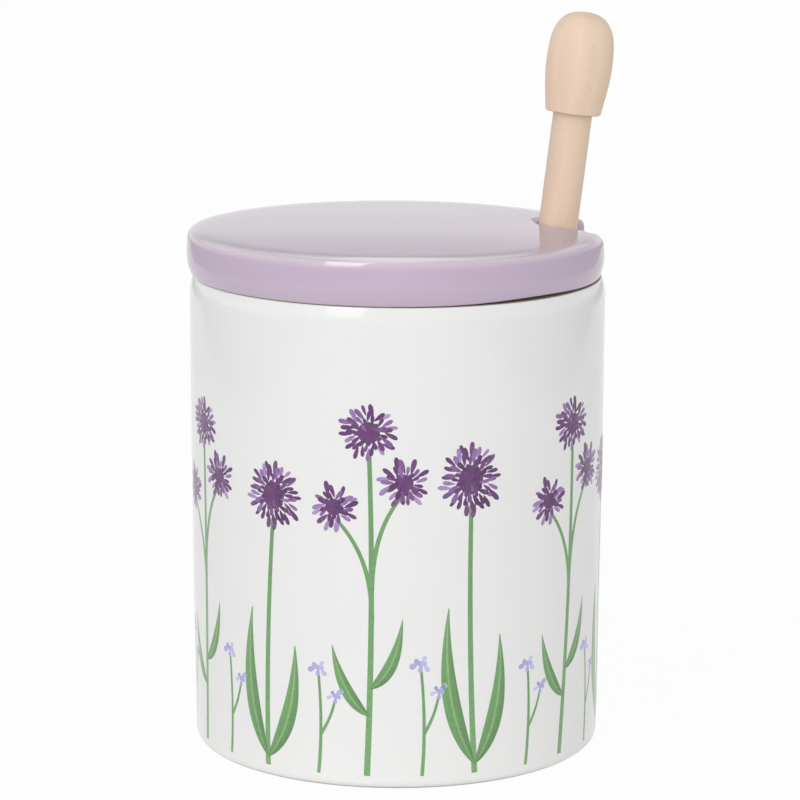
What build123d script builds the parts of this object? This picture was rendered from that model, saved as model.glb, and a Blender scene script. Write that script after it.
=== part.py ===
"""Stoneware honey pot: a straight-sided jar, a thick loose lid with a notch at its edge, and a wooden
honey dipper that stands in the jar and leans out through the notch.

Millimetres, +Z up. The origin is the centre of the flat base, which the pot stands on. The notch and
the dipper are on the +X side, turned a little towards +Y.
"""
import math
import os

from build123d import *

# Jar
JAR_RADIUS = 44.5
JAR_HEIGHT = 101.65
BASE_TAPER = 0.8          # how much less the radius is at the base
MIDDLE_TAPER = 0.2        # and half way up
BASE_ROUND = 1.8
RIM_ROUND_WIDTH = 0.6     # the outer edge of the rim is drawn in by this much
RIM_ROUND_HEIGHT = 2.15
RIM_CORNER = 0.4
BORE_RADIUS = 38.9
FLOOR = 5.0
FLOOR_ROUND = 9.0
RIM_INNER_ROUND = 1.2

# Lid
LID_SHIFT = 0.43          # the loose lid sits this far off the jar's axis, towards -X
LID_RADIUS = 44.65
LID_EDGE_HEIGHT = 9.15    # from the seat to the edge of the top
LID_BELLY_HEIGHT = 4.6    # the height at which the lid is widest
LID_INSET = 0.28          # the side draws in by this much towards its top and its seat
LID_EDGE_ROUND = 1.0
LID_SEAT_ROUND = 1.4
SHOULDER_WIDTH = 6.1      # the outer band of the top, which falls away to the edge
SHOULDER_DROP = 0.65
SHOULDER_SLOPE = 0.25     # fall of the top where it meets the side
DOME_RISE = 0.6
RING_RADIUS = 37.4        # the ring under the lid, which keeps it in the jar's mouth
RING_WIDTH = 4.6
RING_DEPTH = 5.0
RING_ROUND = 1.0
RING_ROOT = 0.8

# Notch in the lid, cut on the slant so that its walls follow the dipper
NOTCH_NEAR = 8.0          # from the dipper's line to the near wall and to the far wall
NOTCH_FAR = 7.8
NOTCH_GAP = 0.4           # between the dipper's stick and the corner that fits round it
NOTCH_SKEW = 50.0         # the near wall leaves that corner at this angle to the dipper's line
NOTCH_BEND = 1.3          # and is rounded by this much where it turns to run beside the line
NOTCH_CORNER = 5.5        # the far inner corner
MOUTH_ROUND_NEAR = 4.6
MOUTH_ROUND_FAR = 2.5
MOUTH_MARGIN = 0.1        # the mouth's curves run out this far beyond the lid's side
NOTCH_TOP_ROUND = 0.7
CUT_START = 10.0          # the cut starts this far below the lid's seat
CUT_HEIGHT = 35.0

# Dipper
DIPPER_LENGTH = 152.0
DIPPER_LEAN = 7.0
DIPPER_AZIMUTH = 11.6
DIPPER_FOOT_RADIUS = 22.35   # how far its foot stands from the jar's axis
FOOT_CLEARANCE = 0.2
STICK_RADIUS = 4.2
KNOB_LENGTH = 21.7
KNOB_SOCKET = 12.0
KNOB_BASE_RADIUS = 6.0
KNOB_BASE_ROUND = 0.5
KNOB_RADIUS = 7.1
KNOB_WIDEST = 10.7           # height of the widest place above the knob's base
KNOB_SHOULDER = (5.95, 18.2)  # radius and height where the side turns over into the crown
KNOB_FLARE = 0.15            # the side leans out by this much per millimetre at the knob's base
HEAD_LENGTH = 40.0
HEAD_RADIUS = 11.0
HEAD_SOCKET = 18.0
HEAD_CORE_RADIUS = 5.4
HEAD_BULGE = 26.0            # half length of the ellipse that the ribs' edges lie on
HEAD_END_ROUND = 2.0
GROOVES = 6
GROOVE_WIDTH = 2.6

LEAN = math.radians(DIPPER_LEAN)
AZIMUTH = math.radians(DIPPER_AZIMUTH)
LID_TOP_EDGE = JAR_HEIGHT + LID_EDGE_HEIGHT


def revolved(*edges, corners=()):
    """Turn a closed outline in the XZ plane about the Z axis. Each corner is (x, z, fillet radius)."""
    face = make_face(Curve() + list(edges))
    for x, z, radius in corners:
        vertex = face.vertices().sort_by_distance((x, 0, z))[0]
        face = fillet(vertex, radius)
    return revolve(face, Axis.Z)


def at(x, z):
    """A point of an outline in the XZ plane."""
    return (x, 0, z)


def make_jar():
    """A straight wall that draws in slightly to a flat base, with a flat rim for the lid."""
    base = JAR_RADIUS - BASE_TAPER
    side_top = JAR_HEIGHT - RIM_ROUND_HEIGHT
    rim = JAR_RADIUS - RIM_ROUND_WIDTH
    middle = at(JAR_RADIUS - MIDDLE_TAPER, side_top / 2)
    side = ThreePointArc(at(base, 0), middle, at(JAR_RADIUS, side_top))
    return revolved(
        Line(at(0, 0), at(base, 0)),
        side,
        TangentArc(at(JAR_RADIUS, side_top), at(rim, JAR_HEIGHT), tangent=(0, 0, 1)),
        Polyline(at(rim, JAR_HEIGHT), at(BORE_RADIUS, JAR_HEIGHT), at(BORE_RADIUS, FLOOR), at(0, FLOOR), at(0, 0)),
        corners=(
            (base, 0, BASE_ROUND),
            (rim, JAR_HEIGHT, RIM_CORNER),
            (BORE_RADIUS, JAR_HEIGHT, RIM_INNER_ROUND),
            (BORE_RADIUS, FLOOR, FLOOR_ROUND),
        ),
    )


def make_lid_blank():
    """The lid before its notch is cut: a thick disc, barely domed, on a locating ring."""
    edge = LID_RADIUS - LID_INSET
    belly = JAR_HEIGHT + LID_BELLY_HEIGHT
    shoulder_radius = edge - SHOULDER_WIDTH
    shoulder = LID_TOP_EDGE + SHOULDER_DROP
    crown = shoulder + DOME_RISE
    ring_foot = JAR_HEIGHT - RING_DEPTH
    ring_inside = RING_RADIUS - RING_WIDTH
    top = Spline(
        at(0, crown), at(shoulder_radius, shoulder), at(edge, LID_TOP_EDGE),
        tangents=[(1, 0, 0), (1, 0, -SHOULDER_SLOPE)],
    )
    blank = revolved(
        top,
        ThreePointArc(at(edge, JAR_HEIGHT), at(LID_RADIUS, belly), at(edge, LID_TOP_EDGE)),
        Polyline(
            at(edge, JAR_HEIGHT), at(RING_RADIUS, JAR_HEIGHT), at(RING_RADIUS, ring_foot),
            at(ring_inside, ring_foot), at(ring_inside, JAR_HEIGHT), at(0, JAR_HEIGHT), at(0, crown),
        ),
        corners=(
            (edge, LID_TOP_EDGE, LID_EDGE_ROUND),
            (edge, JAR_HEIGHT, LID_SEAT_ROUND),
            (RING_RADIUS, JAR_HEIGHT, RING_ROOT),
            (RING_RADIUS, ring_foot, RING_ROUND),
            (ring_inside, ring_foot, RING_ROUND),
            (ring_inside, JAR_HEIGHT, RING_ROOT),
        ),
    )
    return Pos(X=-LID_SHIFT) * Rot(Z=180) * blank


def dipper_axis_radius(height):
    """How far the dipper's leaning axis is from the jar's axis at a height."""
    return DIPPER_FOOT_RADIUS + math.tan(LEAN) * (height - dipper_foot_height())


def dipper_foot_height():
    """Height of the middle of the dipper's end when the low side of its rounded edge is on the floor."""
    flat = head_edge_radius(0) - HEAD_END_ROUND
    return FLOOR + FOOT_CLEARANCE + HEAD_END_ROUND * (1 - math.cos(LEAN)) + flat * math.sin(LEAN)


def dipper_direction():
    """Unit vector along the dipper, from its head to its knob."""
    return Vector(
        math.sin(LEAN) * math.cos(AZIMUTH), math.sin(LEAN) * math.sin(AZIMUTH), math.cos(LEAN)
    )


def notch_plan(inner, outer):
    """Plan of the slot, with x along the dipper's line: its near inner corner fits round the stick."""
    hug = STICK_RADIUS / math.cos(LEAN) + NOTCH_GAP
    skew = math.radians(NOTCH_SKEW)
    low = hug * math.tan((math.pi / 2 - skew) / 2)
    bend = inner + (NOTCH_NEAR - low) / math.tan(skew)
    far_corner, near_corner, turn = (inner, NOTCH_FAR), (inner, -low), (bend, -NOTCH_NEAR)
    mouth = ((outer, -NOTCH_NEAR), (outer, NOTCH_FAR))
    face = make_face(Polyline(far_corner, near_corner, turn, *mouth, close=True))
    for (x, y), radius in ((far_corner, NOTCH_CORNER), (near_corner, hug), (turn, NOTCH_BEND)):
        vertex = face.vertices().sort_by_distance((x, y, 0))[0]
        face = fillet(vertex, radius)
    return face


def make_notch_cutter():
    """A slot that is open at the rim, swept along the dipper's slant, and its flared mouth."""
    start = JAR_HEIGHT - CUT_START
    inner = dipper_axis_radius(start) - STICK_RADIUS / math.cos(LEAN) - NOTCH_GAP
    plane = Plane((0, 0, start), x_dir=(math.cos(AZIMUTH), math.sin(AZIMUTH), 0), z_dir=(0, 0, 1))
    cutter = extrude(plane * notch_plan(inner, LID_RADIUS), amount=CUT_HEIGHT, dir=dipper_direction())
    for wall, mouth_round in ((-NOTCH_NEAR, MOUTH_ROUND_NEAR), (NOTCH_FAR, MOUTH_ROUND_FAR)):
        cutter += extrude(plane * mouth_flare(wall, mouth_round), amount=CUT_HEIGHT)
    return cutter


def mouth_flare(wall, mouth_round):
    """Plan of one side of the notch's mouth: its wall curves outwards until it runs along the lid's side."""
    centre = Vector(-LID_SHIFT * math.cos(AZIMUTH), LID_SHIFT * math.sin(AZIMUTH))
    across = wall + math.copysign(mouth_round, wall)
    along = centre.X + math.sqrt((LID_RADIUS + MOUTH_MARGIN - mouth_round) ** 2 - (across - centre.Y) ** 2)
    pivot = Vector(along, across)
    outwards = (pivot - centre).normalized()
    rim = pivot + outwards * mouth_round
    outside = rim + outwards * mouth_round
    arc = TangentArc((along, wall), rim, tangent=(1, 0))
    return make_face(Curve() + [arc, Polyline(rim, outside, (outside.X, 0), (along, 0), (along, wall))])


def make_lid():
    """The lid with its notch cut and the notch's upper edge softened."""
    lid = make_lid_blank() - make_notch_cutter()
    return lid.fillet(NOTCH_TOP_ROUND, [edge for edge in lid.edges() if is_notch_top(edge)])


def is_notch_top(edge):
    """Whether an edge lies where the notch's walls meet the lid's top."""
    middle = edge.center()
    along = middle.X * math.cos(AZIMUTH) + middle.Y * math.sin(AZIMUTH)
    across = middle.Y * math.cos(AZIMUTH) - middle.X * math.sin(AZIMUTH)
    reach = NOTCH_NEAR + MOUTH_ROUND_NEAR
    beside_notch = along > DIPPER_FOOT_RADIUS and abs(across) < reach
    return beside_notch and edge.length < reach and middle.Z > LID_TOP_EDGE - LID_EDGE_ROUND


def head_edge_radius(height):
    """Radius of the ribs' edges at a height above the dipper's foot."""
    return HEAD_RADIUS * math.sqrt(1 - ((height - HEAD_LENGTH / 2) / HEAD_BULGE) ** 2)


def make_dipper_head():
    """A barrel-shaped head with ring grooves, bored for the stick."""
    end = head_edge_radius(0)
    head = revolved(
        ThreePointArc(at(end, 0), at(HEAD_RADIUS, HEAD_LENGTH / 2), at(end, HEAD_LENGTH)),
        Polyline(at(end, HEAD_LENGTH), at(0, HEAD_LENGTH), at(0, 0), at(end, 0)),
        corners=((end, 0, HEAD_END_ROUND), (end, HEAD_LENGTH, HEAD_END_ROUND)),
    )
    pitch = HEAD_LENGTH / (GROOVES + 1)
    for number in range(1, GROOVES + 1):
        groove = Cylinder(2 * HEAD_RADIUS, GROOVE_WIDTH) - Cylinder(HEAD_CORE_RADIUS, GROOVE_WIDTH)
        head -= Pos(Z=number * pitch) * groove
    socket = Cylinder(STICK_RADIUS, HEAD_SOCKET, align=(Align.CENTER, Align.CENTER, Align.MAX))
    return head - Pos(Z=HEAD_LENGTH) * socket


def make_dipper_stick():
    """A plain dowel that runs from the head's socket into the knob's."""
    start = HEAD_LENGTH - HEAD_SOCKET
    end = DIPPER_LENGTH - KNOB_LENGTH + KNOB_SOCKET
    return Pos(Z=start) * Cylinder(STICK_RADIUS, end - start, align=(Align.CENTER, Align.CENTER, Align.MIN))


def make_dipper_knob():
    """An egg-shaped knob, fullest above its middle, with a flat base bored for the stick."""
    side = Spline(
        at(KNOB_BASE_RADIUS, 0), at(KNOB_RADIUS, KNOB_WIDEST), at(*KNOB_SHOULDER), at(0, KNOB_LENGTH),
        tangents=[(KNOB_FLARE, 0, 1), (-1, 0, 0)],
    )
    knob = revolved(
        side,
        Polyline(at(0, KNOB_LENGTH), at(0, 0), at(KNOB_BASE_RADIUS, 0)),
        corners=((KNOB_BASE_RADIUS, 0, KNOB_BASE_ROUND),),
    )
    knob -= Cylinder(STICK_RADIUS, KNOB_SOCKET, align=(Align.CENTER, Align.CENTER, Align.MIN))
    return Pos(Z=DIPPER_LENGTH - KNOB_LENGTH) * knob


def place_dipper(piece):
    """Stand a piece of the dipper in the jar, leaning outwards through the notch."""
    foot = (
        DIPPER_FOOT_RADIUS * math.cos(AZIMUTH), DIPPER_FOOT_RADIUS * math.sin(AZIMUTH), dipper_foot_height()
    )
    return Plane(foot, z_dir=dipper_direction()) * piece


nodes = {
    "jar": make_jar(),
    "lid": make_lid(),
    "dipper_head": place_dipper(make_dipper_head()),
    "dipper_stick": place_dipper(make_dipper_stick()),
    "dipper_knob": place_dipper(make_dipper_knob()),
}

os.makedirs("parts", exist_ok=True)
for name, shape in nodes.items():
    export_step(shape, f"parts/{name}.step")
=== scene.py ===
"""Honey pot: a glazed stoneware jar with a printed frieze of flowers, a thick lilac lid with a notch at its
edge, and a wooden honey dipper that leans out through the notch.

The module is laid out as an add-on: each operator adds one piece or a group of like pieces, and the sizes
and colours that a user would change are properties of the scene. Sizes are metres, +Z up, with the origin
at the centre of the jar's base. The notch is on the +X side, turned a little towards +Y.
"""

import math

import bpy
from mathutils import Matrix, Vector
from mathutils.geometry import delaunay_2d_cdt


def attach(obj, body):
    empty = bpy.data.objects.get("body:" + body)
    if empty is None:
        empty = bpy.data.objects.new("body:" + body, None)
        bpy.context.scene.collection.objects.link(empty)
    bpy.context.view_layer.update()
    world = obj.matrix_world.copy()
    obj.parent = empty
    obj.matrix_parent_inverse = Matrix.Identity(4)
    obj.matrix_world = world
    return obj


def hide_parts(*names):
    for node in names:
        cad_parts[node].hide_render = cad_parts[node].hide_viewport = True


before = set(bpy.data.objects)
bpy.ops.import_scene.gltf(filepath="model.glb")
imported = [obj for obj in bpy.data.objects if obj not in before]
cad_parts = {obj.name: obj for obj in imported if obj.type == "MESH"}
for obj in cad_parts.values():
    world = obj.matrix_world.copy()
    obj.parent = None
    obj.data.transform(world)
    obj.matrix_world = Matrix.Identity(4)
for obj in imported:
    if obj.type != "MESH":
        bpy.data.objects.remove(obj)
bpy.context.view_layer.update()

bl_info = {
    "name": "Honey Pot",
    "version": (1, 0, 0),
    "blender": (4, 5, 0),
    "location": "View3D > Sidebar > Honey Pot",
    "description": "A printed stoneware honey pot with a notched lid and a wooden dipper",
    "category": "Add Mesh",
}

MM = 0.001
TAU = 2 * math.pi
GOLDEN_ANGLE = math.pi * (3 - 5 ** 0.5)

GLAZE_IOR = 1.5
WOOD_IOR = 1.45
CLAY_ROUGHNESS = 0.6        # what bare clay adds to the glaze's roughness
SHEET_EDGES = (0.45, 0.38)  # between these the white sheet fades into the room, to the left and right
MIRROR_PEAK = 2.4           # the brightest grey that the room's ramps reach

# The notch's middle line and the dipper share one upright plane through the jar's axis.
NOTCH_AZIMUTH = math.radians(11.6)
DIPPER_LEAN = math.radians(7.0)
DIPPER_FOOT_RADIUS = 22.35 * MM
DIPPER_LENGTH = 152.0 * MM


# --- Node trees ---

def sum_node(operation, swapped=False):
    """A method that works out one sum with a Math node."""
    def method(self, other):
        return self.graph.math(operation, *((other, self) if swapped else (self, other)))
    return method


class Socket:
    """A node's output that can be used in sums; each sum adds the Math node that works it out."""

    def __init__(self, graph, socket):
        self.graph = graph
        self.socket = socket

    __add__ = __radd__ = sum_node("ADD")
    __sub__ = sum_node("SUBTRACT")
    __rsub__ = sum_node("SUBTRACT", swapped=True)
    __mul__ = __rmul__ = sum_node("MULTIPLY")
    __truediv__ = sum_node("DIVIDE")
    __rtruediv__ = sum_node("DIVIDE", swapped=True)
    __pow__ = sum_node("POWER")


class Graph:
    """Adds nodes to a shader tree or a geometry tree."""

    def __init__(self, tree):
        self.tree = tree

    def add(self, kind, settings=None, values=None, out=0):
        """Add a node: its settings first, then each input by name, identifier or number."""
        node = self.tree.nodes.new(kind)
        for key, value in (settings or {}).items():
            if key == "stops":
                set_stops(node.color_ramp, value)
            else:
                setattr(node, key, value)
        for key, value in (values or {}).items():
            self.feed(find_socket(node.inputs, key), value)
        if not node.outputs:
            return node
        return Socket(self, find_socket(node.outputs, out))

    def feed(self, target, value):
        """Link a socket to another, or give it a plain value."""
        if isinstance(value, Socket):
            self.tree.links.new(value.socket, target)
        elif isinstance(value, (list, tuple)) and value and isinstance(value[0], Socket):
            for each in value:
                self.tree.links.new(each.socket, target)
        else:
            target.default_value = value

    def math(self, operation, *values):
        return self.add("ShaderNodeMath", {"operation": operation}, dict(enumerate(values)))

    def mix(self, factor, first, second):
        """Mix two colours."""
        settings = {"data_type": "RGBA"}
        values = {"Factor_Float": factor, "A_Color": first, "B_Color": second}
        return self.add("ShaderNodeMix", settings, values, out="Result_Color")

    def vector(self, x=0.0, y=0.0, z=0.0):
        return self.add("ShaderNodeCombineXYZ", None, {"X": x, "Y": y, "Z": z})

    def parts(self, vector):
        """The x, y and z of a vector."""
        first = self.add("ShaderNodeSeparateXYZ", None, {"Vector": vector})
        return [Socket(self, output) for output in first.socket.node.outputs]


def find_socket(sockets, key):
    """A socket by number, identifier or name."""
    if isinstance(key, int):
        return sockets[key]
    for socket in sockets:
        if socket.identifier == key:
            return socket
    return next(socket for socket in sockets if socket.name == key and socket.enabled)


def set_stops(ramp, stops):
    """Give a colour ramp its stops, each a position and a colour."""
    while len(ramp.elements) > 1:
        ramp.elements.remove(ramp.elements[-1])
    ramp.elements[0].position, ramp.elements[0].color = stops[0]
    for position, colour in stops[1:]:
        ramp.elements.new(position).color = colour


def rgba(colour):
    return (*colour, 1.0)


def grey(value):
    return (value, value, value, 1.0)


def shade(colour, factor):
    """A colour made lighter or darker."""
    return tuple(min(1.0, channel * factor) for channel in colour[:3]) + (1.0,)


def new_material(name):
    """An empty material and its graph."""
    material = bpy.data.materials.new(name)
    material.use_nodes = True
    material.node_tree.nodes.clear()
    return material, Graph(material.node_tree)


def finish_material(graph, surface):
    graph.add("ShaderNodeOutputMaterial", None, {"Surface": surface})


def finish_principled(graph, colour, roughness, ior, normal):
    """End a material with one plain surface."""
    finish_material(graph, graph.add("ShaderNodeBsdfPrincipled", None, {
        "Base Color": colour, "Roughness": roughness, "IOR": ior, "Normal": normal,
    }))


# --- Materials ---

def object_place(graph):
    return graph.add("ShaderNodeTexCoord", None, None, out="Object")


def noise(graph, place, size, detail=2.0, roughness=0.5):
    """Noise between 0 and 1 whose features are about one size across."""
    values = {"Vector": place, "Scale": 1 / size, "Detail": detail, "Roughness": roughness}
    return graph.add("ShaderNodeTexNoise", None, values, out="Fac")


def smooth_step(graph, value, low, high):
    """0 below low, 1 above high, and a smooth ramp between."""
    values = {"Value": value, "From Min": low, "From Max": high}
    return graph.add("ShaderNodeMapRange", {"interpolation_type": "SMOOTHSTEP"}, values)


def bump(graph, strength, distance, height):
    values = {"Strength": strength, "Distance": distance, "Height": height}
    return graph.add("ShaderNodeBump", None, values)


def stored(graph, name):
    """A number stored on the mesh."""
    return graph.add("ShaderNodeAttribute", {"attribute_name": name}, None, out="Fac")


def rim_level(x, z):
    """Height measured square to the leaning rim."""
    return z + x * RIM_TILT


def glaze_bump(graph, place):
    """The faint swell and orange peel of a poured glaze."""
    swell = noise(graph, place, 14 * MM, 1.0) * 0.7
    peel = noise(graph, place, 1.6 * MM, 2.0) * 0.05
    return bump(graph, 0.12, 0.12 * MM, swell + peel)


def bare_clay_seam_shade(graph, place):
    """Matt buff clay where the glaze is wiped off; its dark tone is also painted shade in the gap where the
    lid sits on the jar.
    """
    return graph.mix(noise(graph, place, 0.35 * MM, 3.0), (0.36, 0.31, 0.26, 1), (0.48, 0.42, 0.36, 1))


def finish_glaze(graph, place, colour, bare, cloud):
    """End a material with gloss glaze, cloudy in its shine, that gives way to bare clay, which at the seat is
    also painted shade.
    """
    colour = graph.mix(bare, colour, bare_clay_seam_shade(graph, place))
    roughness = 0.04 + cloud * 0.04 + bare * CLAY_ROUGHNESS
    finish_principled(graph, colour, roughness, GLAZE_IOR, glaze_bump(graph, place))


def jar_glaze(settings):
    """White gloss glaze over stoneware, with the foot and the rim's flat top wiped bare; the dark bare rim top
    is also painted shade in the gap under the lid.
    """
    material, graph = new_material("jar_glaze")
    place = object_place(graph)
    x, _, z = graph.parts(place)
    cloud = noise(graph, place, 22 * MM, 3.0)
    white = graph.mix(cloud, rgba(settings.jar_colour), shade(settings.jar_colour, 0.975))
    speck = smooth_step(graph, noise(graph, place, 0.5 * MM, 0.0), 0.80, 0.86)
    white = graph.mix(speck * 0.12, white, (0.42, 0.36, 0.30, 1))
    foot = 1 - smooth_step(graph, z, 0.25 * MM, 0.7 * MM)
    # the rim's flat top is wiped bare, and its dark clay is also painted shade in the seam under the lid
    bare = foot + smooth_step(graph, rim_level(x, z), JAR_HEIGHT - 0.1 * MM, JAR_HEIGHT - 0.03 * MM)
    finish_glaze(graph, place, white, bare, cloud)
    return material


def lid_glaze(settings):
    """Lilac gloss glaze, paler near the lid's upper edge, with a bare seat whose dark clay is also painted
    shade in the seam.
    """
    material, graph = new_material("lid_glaze")
    place = object_place(graph)
    x, _, z = graph.parts(place)
    cloud = noise(graph, place, 17 * MM, 3.0)
    lilac = graph.mix(cloud, rgba(settings.lid_colour), shade(settings.lid_colour, 0.955))
    fleck = smooth_step(graph, noise(graph, place, 0.6 * MM, 1.0), 0.78, 0.86)
    lilac = graph.mix(fleck * 0.15, lilac, shade(settings.lid_colour, 0.72))
    # the lilac is made paler near the lid's upper edge
    edge_paled = graph.mix(stored(graph, "edge") * 0.55, lilac, (0.79, 0.71, 0.74, 1))
    # the seat is bare, and its dark clay is also painted shade in the seam between lid and jar
    bare = 1 - smooth_step(graph, rim_level(x, z), JAR_HEIGHT + 0.05 * MM, JAR_HEIGHT + 0.3 * MM)
    finish_glaze(graph, place, edge_paled, bare, cloud)
    return material


def drawn_out(graph, place, share):
    """A place whose height counts for less, so that noise there comes out long."""
    return graph.add("ShaderNodeVectorMath", {"operation": "MULTIPLY"}, {0: place, 1: (1, 1, share)})


def dipper_wood(name, colour, settings, fleck_strength):
    """Bare sanded beech: fine lengthwise grain, short dark flecks and open end grain."""
    material, graph = new_material(name)
    along = dipper_matrix()
    values = {
        "Vector": object_place(graph),
        "Location": along.translation,
        "Rotation": along.to_euler(),
    }
    place = graph.add("ShaderNodeMapping", {"vector_type": "TEXTURE"}, values)
    long_grain = drawn_out(graph, place, 0.06)
    fleck_grain = drawn_out(graph, place, 0.28)
    band = noise(graph, long_grain, 2.6 * MM, 3.0)
    fibre = noise(graph, long_grain, 0.42 * MM, 3.0, 0.6)
    spots = noise(graph, fleck_grain, 0.55 * MM, 1.0)
    fleck = smooth_step(graph, spots, 0.68, 0.80)
    cloud = noise(graph, place, 9 * MM, 2.0)
    tone = graph.mix(smooth_step(graph, band, 0.3, 0.7), shade(colour, 1.02), shade(colour, 0.96))
    tone = graph.mix(smooth_step(graph, fibre, 0.45, 0.75) * 0.2, tone, shade(colour, 0.88))
    tone = graph.mix(cloud * 0.25, tone, (0.84, 0.61, 0.46, 1))
    tone = graph.mix(fleck * fleck_strength, tone, settings.wood_fleck_colour)
    height = fibre * 0.6 - fleck * 0.5 + band * 0.2
    finish_principled(graph, tone, 0.50 + fibre * 0.14, WOOD_IOR, bump(graph, 0.35, 0.08 * MM, height))
    return material


def print_colour(name, stops):
    """Printed enamel under the glaze: its tint runs through a ramp and blots a little."""
    material, graph = new_material(name)
    place = object_place(graph)
    blot = noise(graph, place, 0.8 * MM, 3.0)
    tint = stored(graph, "tint") + (blot - 0.5) * 0.45
    ramp = graph.add("ShaderNodeValToRGB", {"stops": stops}, {"Fac": tint}, out="Color")
    roughness = 0.05 + noise(graph, place, 22 * MM, 3.0) * 0.04
    finish_principled(graph, ramp, roughness, GLAZE_IOR, glaze_bump(graph, place))
    return material


def purple_print(settings):
    deep = tuple(settings.flower_colour)
    return print_colour("print_purple", [
        (0.0, shade(deep, 0.72)),
        (0.45, shade(deep, 1.15)),
        (0.75, (0.30, 0.16, 0.40, 1)),
        (1.0, (0.46, 0.32, 0.60, 1)),
    ])


def green_print(settings):
    leaf = tuple(settings.leaf_colour)
    return print_colour("print_green", [
        (0.0, (0.38, 0.52, 0.26, 1)),
        (0.5, shade(leaf, 1.25)),
        (1.0, shade(leaf, 0.8)),
    ])


def blue_print():
    return print_colour("print_blue", [(0.0, (0.36, 0.34, 0.66, 1)), (1.0, (0.60, 0.60, 0.86, 1))])


def light_path(graph, kind):
    return graph.add("ShaderNodeLightPath", None, None, out=kind)


def floor_white():
    """A sheet of white paper that keeps a faint shadow.

    Beyond its edges, which only the glaze mirrors, the room is dim.
    """
    material, graph = new_material("floor_white")
    place = object_place(graph)
    grain = noise(graph, place, 1.2 * MM, 2.0)
    mirrored = light_path(graph, "Is Glossy Ray")
    sheet = smooth_step(graph, graph.math("ABSOLUTE", graph.parts(place)[0]), *SHEET_EDGES)
    white = graph.mix(grain, grey(0.86), grey(0.84))
    paper = graph.add("ShaderNodeBsdfDiffuse", None, {
        "Color": graph.mix(mirrored * (1 - sheet), white, grey(0.7)),
    })
    glow = graph.add("ShaderNodeEmission", None, {"Color": grey(1), "Strength": 1.0})
    seen = light_path(graph, "Is Camera Ray") * 0.965 + mirrored * (sheet * 0.76 + 0.1)
    finish_material(graph, graph.add("ShaderNodeMixShader", None, {0: seen, 1: paper, 2: glow}))
    return material


# --- Shapes ---

def rounded(corners, steps=8, support=0.25 * MM):
    """Turn a list of (radius, height, fillet) corners into a fine outline with arcs at its corners."""
    outline = []
    for index, (radius, height, fillet) in enumerate(corners):
        here = Vector((radius, height))
        if fillet == 0:
            outline.append(here)
            continue
        before = (Vector(corners[index - 1][:2]) - here).normalized()
        after = (Vector(corners[index + 1][:2]) - here).normalized()
        half = before.angle(after) / 2
        reach = fillet / math.tan(half)
        centre = here + (before + after).normalized() * fillet / math.sin(half)
        start = here + before * reach - centre
        end = here + after * reach - centre
        sweep = start.angle(end)
        outline.append(here + before * (reach + support))
        for step in range(steps + 1):
            share = step / steps
            weight = math.sin((1 - share) * sweep), math.sin(share * sweep)
            outline.append(centre + (start * weight[0] + end * weight[1]) / math.sin(sweep))
        outline.append(here + after * (reach + support))
    return outline


def band(low, high, count):
    """Faces between two closed rings of points, given the number of each ring's first point."""
    faces = []
    for step in range(count):
        following = (step + 1) % count
        faces.append((low + step, low + following, high + following, high + step))
    return faces


def lathe(outline, segments):
    """Turn an outline that starts and ends on the axis about +Z, with closed poles."""
    vertices = [(0, 0, outline[0][1])]
    for radius, height in outline[1:-1]:
        for step in range(segments):
            angle = TAU * step / segments
            vertices.append((radius * math.cos(angle), radius * math.sin(angle), height))
    vertices.append((0, 0, outline[-1][1]))
    rings = len(outline) - 2
    faces = []
    for step in range(segments):
        following = (step + 1) % segments
        faces.append((0, 1 + following, 1 + step))
        for ring in range(rings - 1):
            low, high = 1 + ring * segments, 1 + (ring + 1) * segments
            faces.append((low + step, low + following, high + following, high + step))
        last = 1 + (rings - 1) * segments
        faces.append((last + step, last + following, len(vertices) - 1))
    return vertices, faces


def add_piece(name, vertices, faces, material, matrix=None):
    """Make a smooth mesh object with one material, its place held in its mesh."""
    mesh = bpy.data.meshes.new(name)
    mesh.from_pydata(vertices, [], faces)
    if matrix is not None:
        mesh.transform(matrix)
    mesh.shade_smooth()
    mesh.materials.append(material)
    piece = bpy.data.objects.new(name, mesh)
    bpy.context.scene.collection.objects.link(piece)
    return piece


def put_in_place(piece, body, node):
    """Fix a finished piece to its body, in place of the node that it dresses."""
    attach(piece, body)
    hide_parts(node)


# --- Jar ---

JAR_RADIUS = 44.5 * MM
JAR_HEIGHT = 101.65 * MM
BASE_TAPER = 0.8 * MM
SIDE_TOP = 99.5 * MM
RIM_TILT = 0.0045           # how far the rim falls to the right, per metre
TILT_BOTTOM = 84 * MM       # below this height nothing leans
TILT_REACH = 12 * MM        # over this height above it, the lean sets in
PRINT_RELIEF = 0.05 * MM


def wall_radius(height):
    """The jar's outer radius: widest under the rim, drawing in to the base on a slight curve."""
    return JAR_RADIUS - PRINT_RELIEF - BASE_TAPER * ((SIDE_TOP - height) / SIDE_TOP) ** 2


def tilted(vertices):
    """The same points with the rim, and what stands above it, a little lower at the right."""
    return [
        (x, y, z - RIM_TILT * x * ease(min(1, max(0, z - TILT_BOTTOM) / TILT_REACH))) for x, y, z in vertices
    ]


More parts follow.
